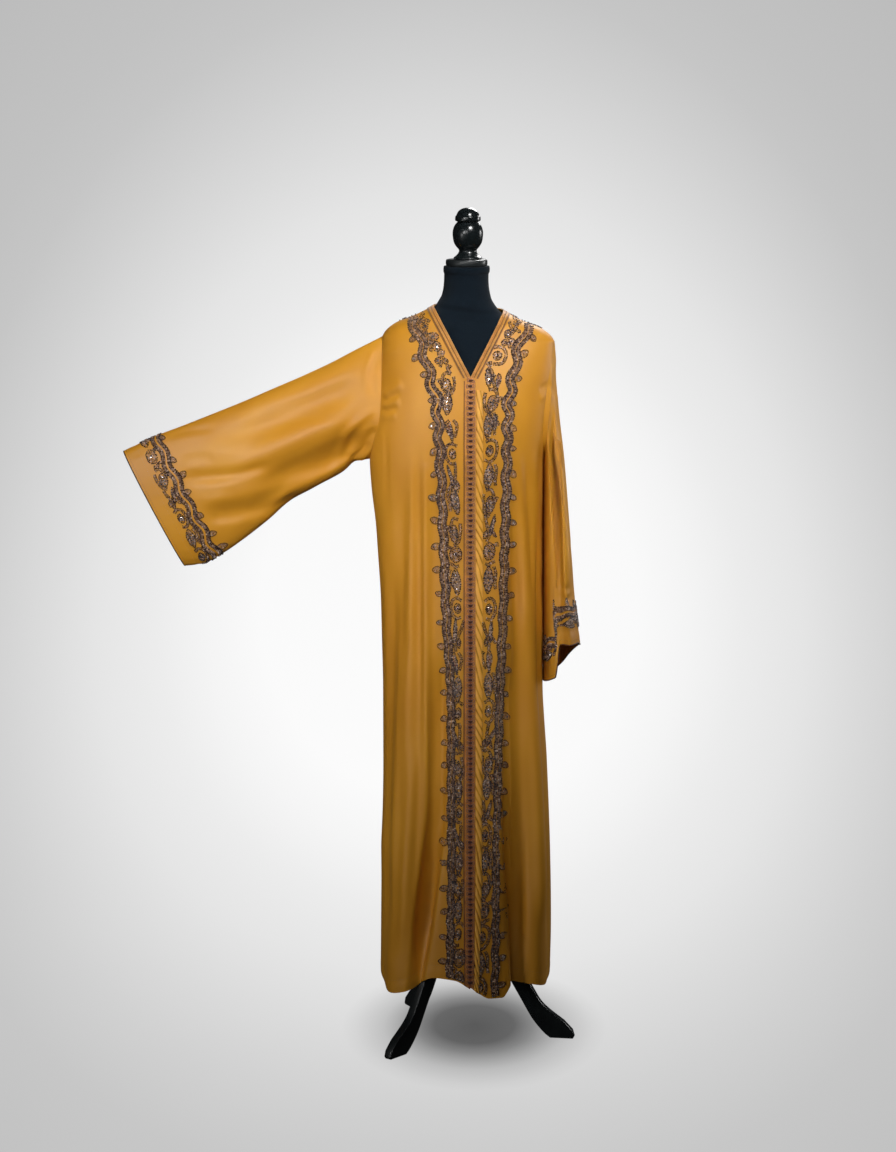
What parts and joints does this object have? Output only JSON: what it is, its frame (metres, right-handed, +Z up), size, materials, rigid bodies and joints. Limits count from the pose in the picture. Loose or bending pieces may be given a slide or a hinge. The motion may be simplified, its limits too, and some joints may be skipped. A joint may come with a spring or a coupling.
{
  "type": "moroccan kaftan on a limbless dress form and stand",
  "caption": "Long open-front kaftan with wide sleeves, knot-and-loop closing and beaded vines, worn by a limbless dress form on a wooden tripod stand.",
  "frame": {"origin": "middle of the whole object's box, on the floor under the stand's feet", "axes": "+Z up, the front of the kaftan faces -Y, the wearer's left is +X and the held-out right sleeve points to -X"},
  "size_m": [0.971, 0.4142, 1.787],
  "materials": {
    "gold_satin": "soft satin crepe, mustard gold, low sheen",
    "flat_braid": "flat woven braid with a copper edge",
    "rust_cord": "silk cord knots, rust brown",
    "beadwork": "rows of plum glass-like beads and sequins",
    "navy_jersey": "stretched cotton jersey, near black navy",
    "painted_wood": "satin black paint on turned and sawn wood"
  },
  "bodies": {
    "root": {"back": "gold_satin", "front_right": "gold_satin", "front_left": "gold_satin", "sleeve_right": "gold_satin", "sleeve_left": "gold_satin", "neck_braid": "flat_braid", "edge_braid_right": "flat_braid", "edge_braid_left": "flat_braid", "knot_row": "rust_cord", "vine_right": "beadwork", "vine_left": "beadwork", "cuff_band_right": "beadwork", "cuff_band_left": "beadwork", "form_torso": "navy_jersey", "neck_disc": "painted_wood", "finial": "painted_wood", "pole": "painted_wood", "hub": "painted_wood", "leg_left": "painted_wood", "leg_behind": "painted_wood", "leg_front": "painted_wood"}
  },
  "joints": []
}
